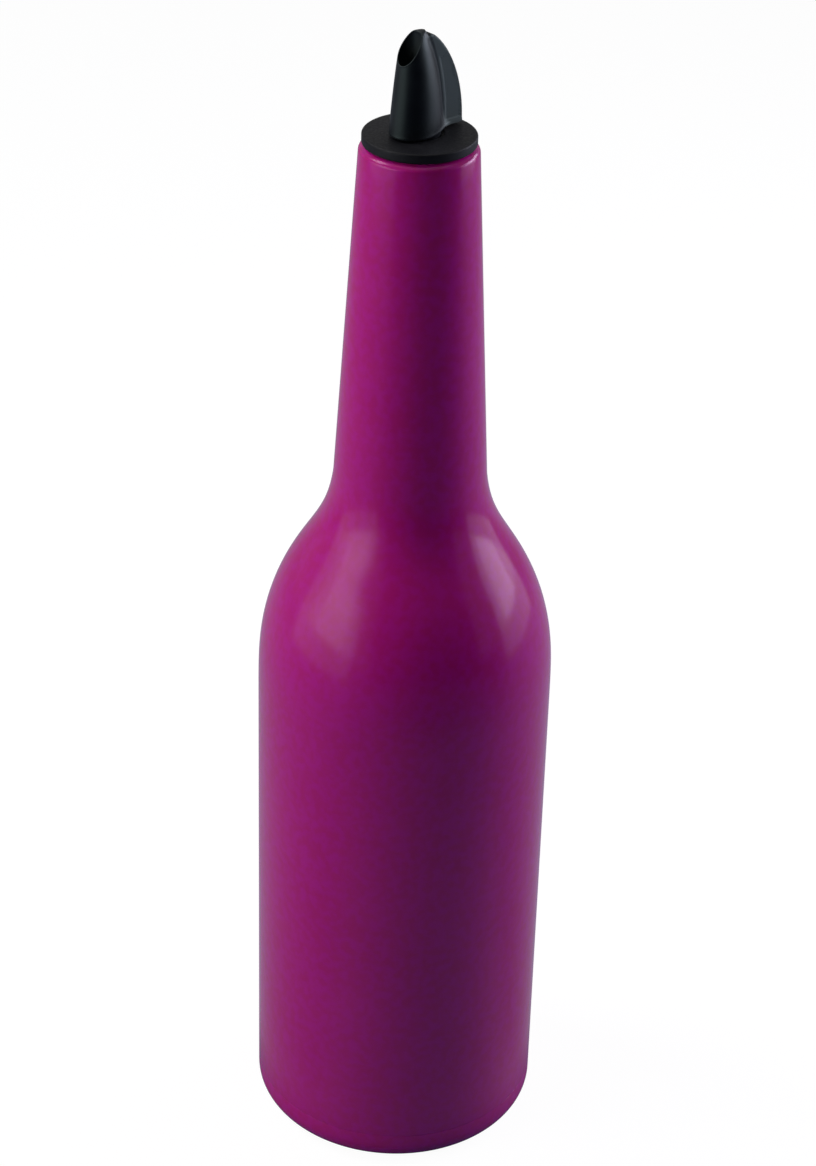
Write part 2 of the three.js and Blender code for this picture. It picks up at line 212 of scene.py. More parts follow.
def dent(tree, shader, *layers):
    """Stacks bumps on a shader: each layer is a height and the depth that it stands for, in metres."""
    normal = None
    for height, depth in layers:
        bump = add(tree, "ShaderNodeBump", Height=height, Distance=depth)
        if normal:
            tree.links.new(normal, bump.inputs["Normal"])
        normal = bump.outputs[0]
    tree.links.new(normal, shader.inputs["Normal"])


def magenta_plastic():
    """Semi-gloss magenta plastic: a fine mottle of warm and cool pigment, slow clouds, faint waves and
    hairline rubs."""
    material, tree, shader, texture = finish("magenta_plastic", 0.23, grain=420.0, wave=38.0, rub=48.0)
    mottle = tint(tree, ramp(tree, texture["Grain"], 0.3, 0.7), MAGENTA_WARM, MAGENTA_COOL)
    colour = tint(tree, clouded(tree, texture, 0.35, 0.7, 0.0, 0.2, 0.05), mottle, MAGENTA_WORN)
    dull = clouded(tree, texture, 0.3, 0.75, 0.15, 0.2, 0.05)
    wire(tree, shader, Base_Color=colour, Roughness=dull, Specular_Tint=MAGENTA_SHEEN)
    dent(tree, shader, (texture["Waves"], 0.00005), (texture["Grain"], 0.000009))
    return material


def eased(line, reach, count):
    """Line whose bends run into each other: evenly spaced points, each the mean of its neighbours under a
    bell curve. The ends are carried on straight."""
    first, last = line[0] - line[1], line[-1] - line[-2]
    longer = 4 * reach * np.stack([first / np.hypot(*first), last / np.hypot(*last)])
    line = np.concatenate([[line[0] + longer[0]], line, [line[-1] + longer[1]]])
    length = np.concatenate([[0], np.cumsum(np.hypot(*np.diff(line, axis=0).T))])
    step = reach / 20
    along = np.arange(reach, length[-1] - reach, step)
    bell = np.exp(-np.arange(-3 * reach, 3.01 * reach, step) ** 2 / (2 * reach**2))
    mean = [np.convolve(np.interp(along, length, part), bell / bell.sum(), "valid") for part in line.T]
    pick = np.linspace(0, len(mean[0]) - 1, count).round().astype(int)
    return np.stack(mean, axis=1)[pick]


def bottle_side(inset, count):
    """Body, shoulder and neck foot moved inwards by an inset: upright line, round arc and hollow arc, which
    touch, eased into one curve."""
    shoulder = np.array([BODY_RADIUS - SHOULDER_RADIUS, SHOULDER_HEIGHT])
    out = np.array([math.cos(NECK_TAPER), math.sin(NECK_TAPER)])
    down = np.array([math.sin(NECK_TAPER), -math.cos(NECK_TAPER)])
    above = np.array([RIM_RADIUS, RIM_HEIGHT]) + out * NECK_FILLET
    span = above - shoulder
    along = span @ down
    drop = -along - math.sqrt(along**2 - span @ span + (SHOULDER_RADIUS + NECK_FILLET) ** 2)
    hollow = above + down * drop
    meeting = math.atan2(hollow[1] - shoulder[1], hollow[0] - shoulder[0])
    body = np.array([[BODY_RADIUS - inset, SEAM_HEIGHT + SEAM_CLEAR]])
    dome = arc(shoulder, SHOULDER_RADIUS - inset, 0, meeting, 80)
    foot = arc(hollow, NECK_FILLET + inset, meeting + math.pi, NECK_TAPER + math.pi, 50)
    return eased(np.concatenate([body, dome, foot[1:]]), BEND_EASE, count)


def shell_profile():
    """Closed section of the wall: up the outside, over the rim, down the bore and the inside."""
    inwards = RIM_ROUND * (1 - math.sin(NECK_TAPER)) / math.cos(NECK_TAPER)
    rim = arc((RIM_RADIUS - inwards, RIM_HEIGHT - RIM_ROUND), RIM_ROUND, NECK_TAPER, math.pi / 2, 16)
    rim[:, 0] -= RIM_DOME * np.linspace(0, 1, len(rim)) ** 2
    corner = (BORE_RADIUS + BORE_LEAD_IN, RIM_HEIGHT - BORE_LEAD_IN)
    lead_in = arc(corner, BORE_LEAD_IN, math.pi / 2, math.pi, 8)
    outside, inside = bottle_side(0, 160), bottle_side(WALL, 70)[::-1]
    neck = np.linspace(outside[-1], rim[0], 26)[1:-1]
    bore_end = np.array([BORE_RADIUS, RIM_HEIGHT - BORE_LENGTH])
    slope = np.array([math.sin(FUNNEL_SLOPE), -math.cos(FUNNEL_SLOPE)])
    out = np.array([math.cos(NECK_TAPER), math.sin(NECK_TAPER)])
    spare = -WALL - (bore_end - (RIM_RADIUS, RIM_HEIGHT)) @ out
    funnel = bore_end + np.linspace(0, spare / (slope @ out), 6)[:, None] * slope
    edge = arc((BODY_RADIUS - SEAM_ROUND, SEAM_HEIGHT + SEAM_ROUND), SEAM_ROUND, -math.pi / 2, 0, 5)
    floor = np.array([[BODY_RADIUS - WALL, SEAM_HEIGHT]])
    return np.concatenate([edge, outside, neck, rim, lead_in, funnel, inside, floor])


bottle_plastic = magenta_plastic()
shell = skin("shell", turned(shell_profile(), 224), closed_rows=True)
place(shell, bottle_plastic, "bottle", "bottle_shell")

# Base cap: a moulded dish of the same plastic, spin-welded into the open lower end of the shell. It has the
# round heel, a flat foot ring that the bottle stands on, and a domed middle that stays clear of the bar top.
HEEL_RADIUS = 6.0
FOOT_WIDTH = 6.0
PUSH_UP = 4.0
BASE_THICKNESS = 3.2
SPIGOT_HEIGHT = 6.0
SPIGOT_WALL = 2.2
SPIGOT_ROUND = 0.5
WELD_GAP = 0.15


def cap_profile():
    """Section from the middle of the underside, round the heel and up the spigot, back to the middle."""
    foot_outer = BODY_RADIUS - HEEL_RADIUS
    foot_inner = foot_outer - FOOT_WIDTH
    dome_radius = (foot_inner**2 + PUSH_UP**2) / (2 * PUSH_UP)
    dome = (0.0, PUSH_UP - dome_radius)
    spigot = BODY_RADIUS - WALL - WELD_GAP
    inner = (spigot - SPIGOT_WALL - HEEL_RADIUS, BASE_THICKNESS + HEEL_RADIUS)
    upper = dome_radius + BASE_THICKNESS
    under = arc(dome, dome_radius, math.pi / 2, math.acos(foot_inner / dome_radius), 24)
    heel = arc((foot_outer, HEEL_RADIUS), HEEL_RADIUS, -math.pi / 2, 0, 22)
    seam = arc((BODY_RADIUS - SEAM_ROUND, SEAM_HEIGHT - SEAM_ROUND), SEAM_ROUND, 0, math.pi / 2, 5)
    step = np.array([[spigot, SEAM_HEIGHT]])
    top = SEAM_HEIGHT + SPIGOT_HEIGHT - SPIGOT_ROUND
    outer_edge = arc((spigot - SPIGOT_ROUND, top), SPIGOT_ROUND, 0, math.pi / 2, 4)
    inner_edge = arc((spigot - SPIGOT_WALL + SPIGOT_ROUND, top), SPIGOT_ROUND, math.pi / 2, math.pi, 4)
    corner = arc(inner, HEEL_RADIUS, 0, -math.pi / 2, 14)
    floor = arc(dome, upper, math.acos(min(foot_inner, inner[0]) / upper), math.pi / 2, 16)
    return np.concatenate([under, heel, seam, step, outer_edge, inner_edge, corner, floor])


base = skin("base", turned(cap_profile(), 192), closed_rows=False)
place(base, bottle_plastic, "bottle", "base_cap")

# Stopper: a soft black rubber sleeve that hangs from the collar round the spout's stem. Barbed ribs lean
# upwards and grip the bore, so it pushes in easily and pulls out with some force.
STOPPER_LENGTH = 30.0
STOPPER_CORE = 8.3
STOPPER_NOSE, STOPPER_NOSE_ROUND = 7.7, 0.6
RIB_RADIUS, RIB_ROUND, RIB_CORNER = 9.78, 0.25, 0.2
RIB_SLOPE, RIB_LIP, RIB_LEAN = 2.6, 0.8, 0.6
RIB_TOP, RIB_PITCH, RIB_COUNT = -2.4, 5.0, 5
STEM_HOLE = 5.2
RUBBER_BLACK, RUBBER_DUSTY = (0.008, 0.008, 0.009, 1), (0.018, 0.018, 0.019, 1)


def stopper_profile():
    """Section from the nose up the outside and down the hole: each rib is a flat top, a round lip and a
    slope."""
    barb = np.concatenate([
        [[STOPPER_CORE, -RIB_SLOPE]],
        arc((RIB_RADIUS - RIB_ROUND, -RIB_LIP), RIB_ROUND, -RIB_LEAN, 0, 4),
        arc((RIB_RADIUS - RIB_ROUND, -RIB_ROUND), RIB_ROUND, 0, math.pi / 2, 5),
        [[STOPPER_CORE + RIB_CORNER, 0.0], [STOPPER_CORE, RIB_CORNER]],
    ])
    tops = RIB_TOP - RIB_PITCH * np.arange(RIB_COUNT)[::-1]
    ribs = (barb + np.stack([0 * tops, tops], axis=1)[:, None]).reshape(-1, 2)
    corner = (STOPPER_NOSE - STOPPER_NOSE_ROUND, STOPPER_NOSE_ROUND - STOPPER_LENGTH)
    nose = arc(corner, STOPPER_NOSE_ROUND, -math.pi / 2, 0, 6)
    top = np.array([[STOPPER_CORE, 0.0], [STEM_HOLE, 0.0]])
    end = np.array([[STEM_HOLE, -STOPPER_LENGTH]])
    return np.concatenate([nose, ribs, top, end]) + (0, RIM_HEIGHT)


def black_rubber():
    """Matt black rubber with a fine grain and slow dusty clouds."""
    material, tree, shader, texture = finish("black_rubber", 0.35, grain=2400.0, wave=120.0)
    colour = tint(tree, ramp(tree, texture["Clouds"], 0.35, 0.7), RUBBER_BLACK, RUBBER_DUSTY)
    wire(tree, shader, Base_Color=colour, Roughness=ramp(tree, texture["Grain"], 0.3, 0.7, 0.55, 0.7))
    dent(tree, shader, (texture["Grain"], 0.00002))
    return material


stopper = skin("ribbed_stopper", turned(stopper_profile(), 144), closed_rows=True)
place(stopper, black_rubber(), "stopper_body", "stopper")

# Collar: a flat ring of matt dark grey plastic that stands on the rim and stops the pourer from going in too
# far. Its edges are only just broken, and its top has the dull grain of a sparked mould.
COLLAR_RADIUS = 14.0
COLLAR_THICKNESS = 2.6
COLLAR_ROUND = 0.45
COLLAR_UNDERCUT = 0.3
COLLAR_FLAT_INSET = 0.5
GREY, GREY_WORN = (0.0038, 0.0038, 0.0056, 1), (0.0068, 0.0068, 0.009, 1)


def collar_profile():
    """Section round the ring: underside, undercut and rounded outer edge, top and the hole."""
    edge = COLLAR_RADIUS - COLLAR_ROUND
    shift = COLLAR_UNDERCUT - COLLAR_ROUND * math.tan(math.pi / 8)
    under = np.array([[STEM_HOLE, 0.0], [edge - shift, 0.0]])
    lower = arc((edge, COLLAR_ROUND + shift), COLLAR_ROUND, -math.pi / 4, 0, 8)
    upper = arc((edge, COLLAR_THICKNESS - COLLAR_ROUND), COLLAR_ROUND, 0, math.pi / 2, 8)
    top = np.linspace((edge - COLLAR_FLAT_INSET, COLLAR_THICKNESS), (STEM_HOLE, COLLAR_THICKNESS), 8)
    return np.concatenate([under, lower, upper, top]) + (0, RIM_HEIGHT)


def grey_plastic():
    """Matt dark grey plastic with a dull sparked grain and a few paler rubs."""
    material, tree, shader, texture = finish("grey_plastic", 0.15, grain=1800.0, wave=150.0, rub=110.0)
    colour = tint(tree, clouded(tree, texture, 0.35, 0.7, 0.0, 0.6, 0.3), GREY, GREY_WORN)
    wire(tree, shader, Base_Color=colour, Roughness=ramp(tree, texture["Grain"], 0.3, 0.7, 0.46, 0.6))
    dent(tree, shader, (texture["Grain"], 0.000025))
    return material


collar = skin("flat_collar", turned(collar_profile(), 192), closed_rows=True)
place(collar, grey_plastic(), "stopper_body", "collar")

# Spout: one satin blue-black moulding. An egg-shaped beak leans in to a blunt nose, cut away in front for
# the mouth, and a finger fin with a shallow bare panel on each side runs up its back. A fillet fills the
# corner between them at the foot. Below the foot the stem goes down through the collar and the stopper.
FIN_AZIMUTH = math.radians(43)
SEAT = 1.1
BEAK_FOOT = RIM_HEIGHT + COLLAR_THICKNESS + SEAT
BEAK_HEIGHT = 24.58
BEAK_FRONT, BEAK_BACK, BEAK_HALF, EGG = -8.3, 5.9, 5.25, 0.13
FLARE, FLARE_FADE, FOOT_FILL, FOOT_FADE = 0.05, 0.3, 3.0, 1.6
SKIRT, SKIRT_ROUND, SKIRT_FLAT = 0.55, 0.25, 0.1
TIP, NOSE_HALF, NOSE_START, NOSE_FULLNESS = 0.5, 2.55, 16.5, 3.9
LIP_HEIGHT, LIP_SETBACK, LIP_BULGE = 16.9, 1.6, 0.4
LIP = BEAK_FRONT + LIP_SETBACK
MOUTH_TILT = math.radians(55.4)
MOUTH_WALL = 0.3
HINGE = LIP - LIP_HEIGHT / math.tan(MOUTH_TILT)
FIN_REACH, FIN_HEIGHT, FIN_CROWN, FIN_FULLNESS, FIN_HALF, FIN_ROOT = 12.5, 23.7, 24.4, 0.67, 1.75, 1.2
FIN_ROUND, CREASE_ROUND = 0.9, 0.3
PANEL_BORDER, PANEL_BOTTOM, PANEL_TOP, PANEL_DEPTH, PANEL_SLOPE = 0.6, 0.7, 17.8, 0.14, 0.5
VENT, VENT_TURN, VENT_RADIUS, VENT_DEPTH, VENT_ROUND = (2.0, 23.7), math.radians(30), 0.7, 1.3, 0.2
STEM_RADIUS, STEM_BELOW, STEM_SIDE_START, STEM_SIDE_END = 5.1, 3.6, 2.0, 0.8
STEM_END = -(STOPPER_LENGTH + COLLAR_THICKNESS + STEM_BELOW)
BEAD, BEAD_SLOPE, BEAD_GAP = 0.5, 1.4, 0.3
FLOW_RADIUS, FLOW_OFFSET = 2.95, -1.55
THROAT_HEIGHT, THROAT_SHIFT = 8, 0.7
FLOW_LEVELS = np.array([6, 3, 0, -8, -16, -24, STEM_END])[:, None]
SPINE_FOOT, SPINE_MOUTH = -1.0, -4.0
SPOUT_ROWS, SPOUT_COLUMNS, FINE_ANGLES = 210, 288, 1441
LONGEST_REACH, HALVINGS = 32, 34
# Painted light: the fin's flat sides and the mouth's duct, more so deeper in, are painted a lighter grey as
# well as left matt.
MATT_AND_PAINTED_LIGHT_BORDER, MATT_AND_PAINTED_LIGHT_FADE, MATT_AND_PAINTED_LIGHT_DEPTH, MATT_AND_PAINTED_LIGHT_DEPTH_FADE = 0.3, 0.5, 0.7, 0.4
DUCT_MATT_AND_PAINTED_LIGHT = (0.1, 1.0)
SATIN_BLACK, SATIN_WORN = (0.0035, 0.0038, 0.006, 1), (0.007, 0.008, 0.011, 1)
MATT_PAINTED_LIGHT_GREY, SATIN_SHEEN = (0.054, 0.066, 0.064, 1), (0.7, 0.96, 0.9, 1)


def ogive(base, tip, height, h):
    """Line that leaves the foot upright and leans in to a tip: centre + sqrt(radius² - h²)."""
    centre = (tip**2 + height**2 - base**2) / (2 * (tip - base))
    return centre + np.sqrt((base - centre) ** 2 - np.clip(h, 0, height) ** 2)


def oval_gap(s, t, front, back, half):
    """Distance from an oval, near enough: k (k - 1) / |p / a²|, with k the size of the point against it.
    The oval is egg-shaped, fuller towards the front."""
    a = (back - front) / 2
    x = s - (front + back) / 2
    t = t * (1 + EGG * x / a)
    k = np.hypot(x / a, t / half)
    return k * (k - 1) / np.maximum(np.hypot(x / a**2, t / half**2), 1e-9)


def round_max(a, b, width):
    """Larger of two distances, rounded over a width where they cross."""
    return np.maximum(a, b) + np.maximum(width - np.abs(a - b), 0) ** 2 / (4 * width)


def step_up(x, width):
    """Smooth step from 0 to 1 while x goes from 0 to a width."""
    x = np.clip(x / width, 0, 1)
    return x * x * (3 - 2 * x)


def fin_edge(h):
    """Back edge of the fin: upright at the foot, then leaning in to the crown."""
    return FIN_REACH * (1 - np.clip(h / FIN_CROWN, 0, 1) ** 2) ** FIN_FULLNESS


def fin_side(s, t, h):
    """Mark for the fin's flat sides, which are left matt and painted a lighter grey as painted light: 1 on
    them, fading to 0 at the beak and at the fin's rounded edge.
    """
    inside = np.minimum(s - ogive(BEAK_BACK, TIP, BEAK_HEIGHT, h), fin_edge(h) - s - MATT_AND_PAINTED_LIGHT_BORDER)
    return step_up(inside, MATT_AND_PAINTED_LIGHT_FADE) * step_up(np.abs(t) - FIN_HALF + MATT_AND_PAINTED_LIGHT_DEPTH, MATT_AND_PAINTED_LIGHT_DEPTH_FADE)


def spout_gap(s, t, h):
    """Distance outside the spout above its foot: beak and fin joined by a fillet, less the vent.
    s runs from the mouth back along the fin, t across it and h up from the foot."""
    back = ogive(BEAK_BACK, TIP, BEAK_HEIGHT, h)
    climb = np.clip((h - NOSE_START) / (BEAK_HEIGHT - NOSE_START), 0, 1)
    share = np.maximum((1 - climb**NOSE_FULLNESS) ** (1 / NOSE_FULLNESS), 1e-3)
    front = back - (back - BEAK_FRONT - LIP_SETBACK * h / LIP_HEIGHT) * share
    beak = oval_gap(s, t, front, back, ogive(BEAK_HALF, NOSE_HALF, BEAK_HEIGHT, h) * share)
    beak = np.maximum(beak, h - BEAK_HEIGHT)
    edge = fin_edge(h)
    inside = np.minimum(s - back, edge - s) - PANEL_BORDER
    inside = np.minimum(inside, np.minimum(h - PANEL_BOTTOM, PANEL_TOP - h))
    side = np.abs(t) - FIN_HALF + PANEL_DEPTH * step_up(inside, PANEL_SLOPE)
    end = round_max(s - edge, h - FIN_HEIGHT, FIN_ROUND)
    fin = np.maximum(round_max(side, end, FIN_ROUND), back - FIN_ROOT - s)
    fillet = CREASE_ROUND + FOOT_FILL * np.exp(-h / FOOT_FADE)
    both = -round_max(-beak, -fin, fillet) - FLARE * np.exp(-h / FLARE_FADE)
    over, off = h - VENT[1], s - VENT[0]
    depth = over * math.cos(VENT_TURN) + off * math.sin(VENT_TURN)
    aside = np.hypot(off * math.cos(VENT_TURN) - over * math.sin(VENT_TURN), t)
    return round_max(both, -np.maximum(aside - VENT_RADIUS, -VENT_DEPTH - depth), VENT_ROUND)


def on_plane(tilt, spine, angle, reach):
    """Point at a reach along a ray: planes tilt about one line in front of the foot, and rays leave from the
    spine."""
    s = spine + reach * np.cos(angle) * np.cos(tilt)
    h = (spine - HINGE) * np.tan(tilt) + reach * np.cos(angle) * np.sin(tilt)
    return s, reach * np.sin(angle), h


def skin_reach(tilt, spine, angle):
    """Reach of each ray to the skin, found by halving."""
    near = np.zeros(np.broadcast(tilt, angle).shape)
    far = near + LONGEST_REACH
    for _ in range(HALVINGS):
        middle = (near + far) / 2
        inside = spout_gap(*on_plane(tilt, spine, angle, middle)) < 0
        near, far = np.where(inside, middle, near), np.where(inside, far, middle)
    return near


def spread_angles(tilt, spine):
    """Ray angles that share out the length of each section, so that the fin gets as many points as it
    needs."""
    fine = np.linspace(0, 2 * np.pi, FINE_ANGLES)
    s, t, h = on_plane(tilt, spine, fine, skin_reach(tilt, spine, fine))
    length = np.sqrt(np.diff(s) ** 2 + np.diff(t) ** 2 + np.diff(h) ** 2)
    length = np.concatenate([0 * tilt, np.cumsum(length, axis=1)], axis=1)
    share = np.arange(SPOUT_COLUMNS) / SPOUT_COLUMNS
    return np.stack([np.interp(share, row / row[-1], fine) for row in length])


def stem_reach(angle, radius):
    """Reach of rays from the spine's foot to a circle round the stem's axis."""
    return -SPINE_FOOT * np.cos(angle) + np.sqrt(radius**2 - (-SPINE_FOOT * np.sin(angle)) ** 2)


def rings(angle, middle, reach, h):
    """Level rings of points: (middle + reach cos a, reach sin a, h)."""
    points = middle + reach * np.cos(angle), reach * np.sin(angle), h + 0 * angle
    return np.stack(np.broadcast_arrays(*points), axis=-1)


def stem_rows(angle, foot_reach):
    """Rows from the end of the stem over its bead, up its side, out under the foot and round the foot's
    lower edge."""
    under = -(SEAT + COLLAR_THICKNESS + STOPPER_LENGTH + BEAD_GAP)
    bead = STEM_RADIUS + BEAD
    end = [(STEM_END, STEM_RADIUS - BEAD), (STEM_END + BEAD_SLOPE, bead), (under, bead), (under, STEM_RADIUS)]
    side = [(h, STEM_RADIUS) for h in np.linspace(under + STEM_SIDE_START, -SKIRT - STEM_SIDE_END, 8)]
    h, radius = np.array(end + side).T[:, :, None]
    stem = rings(angle, SPINE_FOOT, stem_reach(angle, radius), h)
    inner = np.minimum(stem_reach(angle, STEM_RADIUS), foot_reach - SKIRT_ROUND - SKIRT_FLAT)
    bend = np.linspace(0, np.pi / 2, 6)[:, None]
    outer = foot_reach - SKIRT_ROUND * (1 - np.sin(bend))
    skirt = rings(angle, SPINE_FOOT, outer, SKIRT_ROUND * (1 - np.cos(bend)) - SKIRT)
    return np.concatenate([stem, rings(angle, SPINE_FOOT, inner, -SKIRT)[None], skirt])


def mouth_rows(angle, edge):
    """Rows over the rounded lip, down the duct to the throat, and on down the liquid's way in the stem."""
    across = np.array([math.cos(MOUTH_TILT), 0, math.sin(MOUTH_TILT)])
    out = np.array([-math.sin(MOUTH_TILT), 0, math.cos(MOUTH_TILT)])
    rays = np.cos(angle)[:, None] * across + np.sin(angle)[:, None] * np.array([0, 1, 0])
    bend = np.linspace(0, np.pi, 9)[1:, None, None]
    lip = edge + MOUTH_WALL / 2 * ((np.cos(bend) - 1) * rays + LIP_BULGE * np.sin(bend) * out)
    throat = rings(angle, FLOW_OFFSET - THROAT_SHIFT, FLOW_RADIUS, THROAT_HEIGHT)
    duct = lip[-1] + (throat - lip[-1]) * np.linspace(0, 1, 25)[1:, None, None]
    middle = FLOW_OFFSET - THROAT_SHIFT * np.maximum(FLOW_LEVELS, 0) / THROAT_HEIGHT
    return lip, duct, rings(angle, middle, FLOW_RADIUS, FLOW_LEVELS)


def spout_rows():
    """Rows from the end of the stem up its outside, under the foot, up the skin, over the lip and down the
    bore, and the mark of the parts that are left matt and painted a lighter grey as painted light: the fin's
    sides and, more so deeper in, the mouth."""
    tilt = np.linspace(0, MOUTH_TILT, SPOUT_ROWS)[:, None]
    spine = SPINE_FOOT + (SPINE_MOUTH - SPINE_FOOT) * tilt / MOUTH_TILT
    angle = spread_angles(tilt, spine)
    reach = skin_reach(tilt, spine, angle)
    outside = np.stack(on_plane(tilt, spine, angle, reach), axis=-1)
    lip, duct, bore = mouth_rows(angle[-1], outside[-1])
    rows = np.concatenate([stem_rows(angle[0], reach[0]), outside, lip, duct, bore])
    s, t, h = np.moveaxis(rows, -1, 0)
    x = s * math.cos(FIN_AZIMUTH) - t * math.sin(FIN_AZIMUTH)
    y = s * math.sin(FIN_AZIMUTH) + t * math.cos(FIN_AZIMUTH)
    # Painted light: this mark paints the fin's sides and the duct a lighter grey as well as making them matt.
    matt = fin_side(s, t, h)
    matt[-len(duct) - len(bore):-len(bore)] = np.linspace(*DUCT_MATT_AND_PAINTED_LIGHT, len(duct))[:, None]
    return np.stack([x, y, h + BEAK_FOOT], axis=-1), matt


def satin_black():
    """Satin blue-black plastic with slow flow clouds, a fine grain and hairline rubs from being handled.
    It is duller where the tool was left matt, and painted a lighter grey there and deeper in the mouth, which
    is painted light."""
    material, tree, shader, texture = finish("satin_black", 0.18, grain=2600.0, wave=140.0, rub=160.0)
    matt = tree.nodes.new("ShaderNodeAttribute")
    matt.attribute_name = "matt"
    satin = tint(tree, clouded(tree, texture, 0.35, 0.7, 0.0, 0.6, 0.4), SATIN_BLACK, SATIN_WORN)
    # Painted light: the lighter grey on the fin's sides and in the duct.
    colour = tint(tree, matt.outputs["Fac"], satin, MATT_PAINTED_LIGHT_GREY)
    duller = worked(tree, "MULTIPLY", matt.outputs["Fac"], 0.12)
    dull = worked(tree, "ADD", clouded(tree, texture, 0.3, 0.75, 0.36, 0.44, 0.06), duller)
    wire(tree, shader, Base_Color=colour, Roughness=dull, Specular_Tint=SATIN_SHEEN)
    dent(tree, shader, (texture["Waves"], 0.00004), (texture["Grain"], 0.000006))
    return material


spout_points, spout_matt = spout_rows()
spout = skin("beak_spout", spout_points, closed_rows=True, matt=spout_matt)
place(spout, satin_black(), "spout_body", "spout")

# Breather tube: a thin dark plastic tube pushed into the stem beside the liquid's way. Air comes back down it
# into the bottle while the liquid runs out, which keeps the stream even.
TUBE_RADIUS, TUBE_BORE, TUBE_OFFSET = 1.2, 0.75, 3.25
TUBE_ROUND, TUBE_END = 0.18, 1.0
TUBE_TOP, TUBE_BOTTOM = BEAK_FOOT + 6.7, BEAK_FOOT + STEM_END - 11.0
TUBE_DARK, TUBE_DUSTY = (0.011, 0.011, 0.013, 1), (0.02, 0.02, 0.022, 1)


def tube_profile():
    """Section of the tube's wall, with its ends rounded."""
    bottom = arc((TUBE_RADIUS - TUBE_ROUND, TUBE_BOTTOM + TUBE_ROUND), TUBE_ROUND, -math.pi / 2, 0, 5)
    top = arc((TUBE_RADIUS - TUBE_ROUND, TUBE_TOP - TUBE_ROUND), TUBE_ROUND, 0, math.pi / 2, 5)
    middle = np.linspace((TUBE_RADIUS, TUBE_BOTTOM + TUBE_END), (TUBE_RADIUS, TUBE_TOP - TUBE_END), 12)
    return np.concatenate([bottom, middle, top, [[TUBE_BORE, TUBE_TOP], [TUBE_BORE, TUBE_BOTTOM]]])


def tube_plastic():
    """Dull dark plastic of a drawn tube, with a fine grain."""
    material, tree, shader, texture = finish("tube_plastic", 0.45, grain=3000.0)
    colour = tint(tree, ramp(tree, texture["Clouds"], 0.35, 0.7), TUBE_DARK, TUBE_DUSTY)
    wire(tree, shader, Base_Color=colour, Roughness=ramp(tree, texture["Grain"], 0.3, 0.7, 0.38, 0.5))
    dent(tree, shader, (texture["Grain"], 0.00001))
    return material


beside = TUBE_OFFSET * np.array([math.cos(FIN_AZIMUTH), math.sin(FIN_AZIMUTH), 0])
tube = skin("breather_tube", turned(tube_profile(), 48) + beside, closed_rows=True)
place(tube, tube_plastic(), "spout_body", "vent_tube")

# Studio, in metres: a pale table that runs on as the backdrop, upright soft panels at the left and right, a
# soft light high up at the left, a dark flag behind the camera and a white room. The table shows white to
# the camera and still takes the bottle's shadow.
TABLE_REACH = 6.0
TABLE_WHITE, TABLE_GLOW = 0.9, 1.06
TABLE_COLOUR, TABLE_BOUNCE = (0.9, 0.9, 0.9, 1), (0.12, 0.18, 0.34, 1)
# Painted shade: in the bottle's mirror the table is darker towards the front and far away, with a painted
# shadow round the heel.
TABLE_DARK_SIDE, DARK_FROM, DARK_TO = (0.31, -0.95, 0), 0.35, 0.6
TABLE_SIDES, TABLE_NEAR, TABLE_FAR = 0.26, 0.4, 0.07
NEAR_REACH, FAR_REACH = 0.12, 0.4
HEEL_SHADE, HEEL_REACH, HEEL_CLEAR = 0.05, 0.036, 0.056
ROOM_LIGHT = 0.068
ROOM_MIRRORED, CEILING_MIRRORED = 0.4, 1.3
CEILING_FROM, CEILING_TO = 0.78, 0.9
COOL_WHITE = (1, 1, 1.2)
FLAG_DISTANCE, FLAG_SPREAD, FLAG_LEVELS, FLAG_COLUMNS = 1.3, (-118, -30), (0.0, 1.3), 25
FLAG_BLACK = (0.01, 0.01, 0.01, 1)
SHOULDER_LEVEL = 0.17
EYE = (0.0, -0.648723, 0.547603)
EYE_PITCH, EYE_ROLL, EYE_YAW = 0.5336, 0.0287, 0.0004
PHOTO_HEIGHT, FOCAL_PIXELS, SENSOR = 1166, 2891.735, 36


def vector_of(tree, operation, *values):
    """Outputs of a Vector Math node."""
    made = add(tree, "ShaderNodeVectorMath", **{f"_{i}": value for i, value in enumerate(values)})
    made.operation = operation
    return made.outputs


def shown(tree, mirror):
    """Share of a surface's white that shows: all of it to the camera and through glass, some of it in a
    mirror."""
    seen = tree.nodes.new("ShaderNodeLightPath").outputs
    mirrored = worked(tree, "MULTIPLY", seen["Is Glossy Ray"], mirror)
    straight = worked(tree, "MAXIMUM", seen["Is Camera Ray"], mirrored)
    return worked(tree, "MAXIMUM", straight, seen["Is Transmission Ray"])


